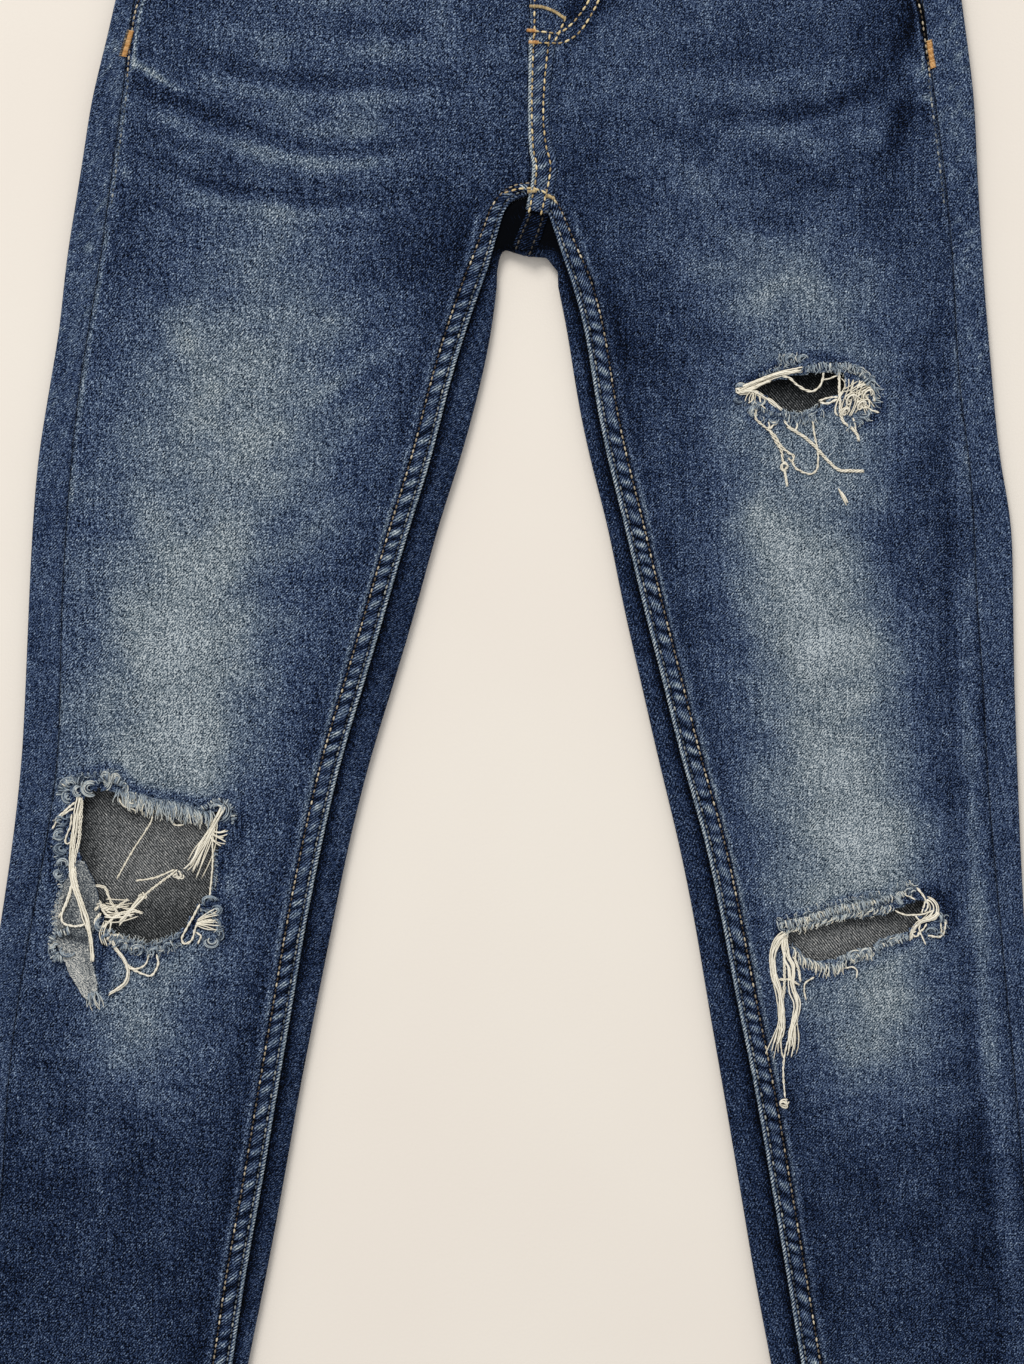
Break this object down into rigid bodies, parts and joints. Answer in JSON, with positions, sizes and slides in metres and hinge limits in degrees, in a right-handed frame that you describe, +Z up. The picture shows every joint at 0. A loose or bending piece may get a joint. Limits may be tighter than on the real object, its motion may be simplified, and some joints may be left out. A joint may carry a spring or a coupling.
{
  "type": "ripped skinny jeans",
  "caption": "Faded blue stretch denim skinny jeans laid flat, with a zip fly, patch back pockets, felled inseams, and frayed rips at the thigh and knees",
  "frame": {"origin": "The middle of the footprint, on the surface that the jeans lie on", "axes": "+Y runs from the hems to the waist, +X to the wearer's left, +Z up out of the front of the jeans"},
  "size_m": [0.5886, 1.038, 0.0115],
  "materials": {
    "denim_faded": "right-hand twill, stone washed, faded on the thighs and knees",
    "denim_dark": "right-hand twill, little faded",
    "felled_seams": "roped felled seams with tan top-stitching",
    "denim_wrong_side": "grey-white wrong side of the twill",
    "warp_threads": "loose cream cotton threads",
    "button_brass": "aged brass",
    "zip_brass": "brass chain on dark tape"
  },
  "bodies": {
    "root": {"back_left": "denim_dark", "back_pocket_left": "denim_dark", "back_pocket_right": "denim_dark", "back_right": "denim_dark", "back_rise_seam": "felled_seams", "belt_loop_back_centre": "denim_faded", "belt_loop_back_left": "denim_faded", "belt_loop_back_right": "denim_faded", "belt_loop_front_left": "denim_faded", "belt_loop_front_right": "denim_faded", "fly_facing": "denim_dark", "fly_shield": "denim_dark", "fray_left_knee_bottom": "warp_threads", "fray_left_knee_end": "warp_threads", "fray_left_knee_tail": "warp_threads", "fray_left_knee_top": "warp_threads", "fray_left_thigh_bottom": "warp_threads", "fray_left_thigh_end": "warp_threads", "fray_left_thigh_top": "warp_threads", "fray_right_knee_bottom": "warp_threads", "fray_right_knee_inner": "warp_threads", "fray_right_knee_outer": "warp_threads", "fray_right_knee_top": "warp_threads", "front_left": "denim_faded", "front_right": "denim_faded", "front_rise_seam": "felled_seams", "inseam_left": "felled_seams", "inseam_right": "felled_seams", "pocket_facing_left": "denim_dark", "pocket_facing_right": "denim_dark", "torn_cloth_right_knee": "denim_wrong_side", "waist_button": "button_brass", "waistband": "denim_faded", "yoke_left": "denim_dark", "yoke_right": "denim_dark", "zip": "zip_brass"}
  },
  "joints": []
}
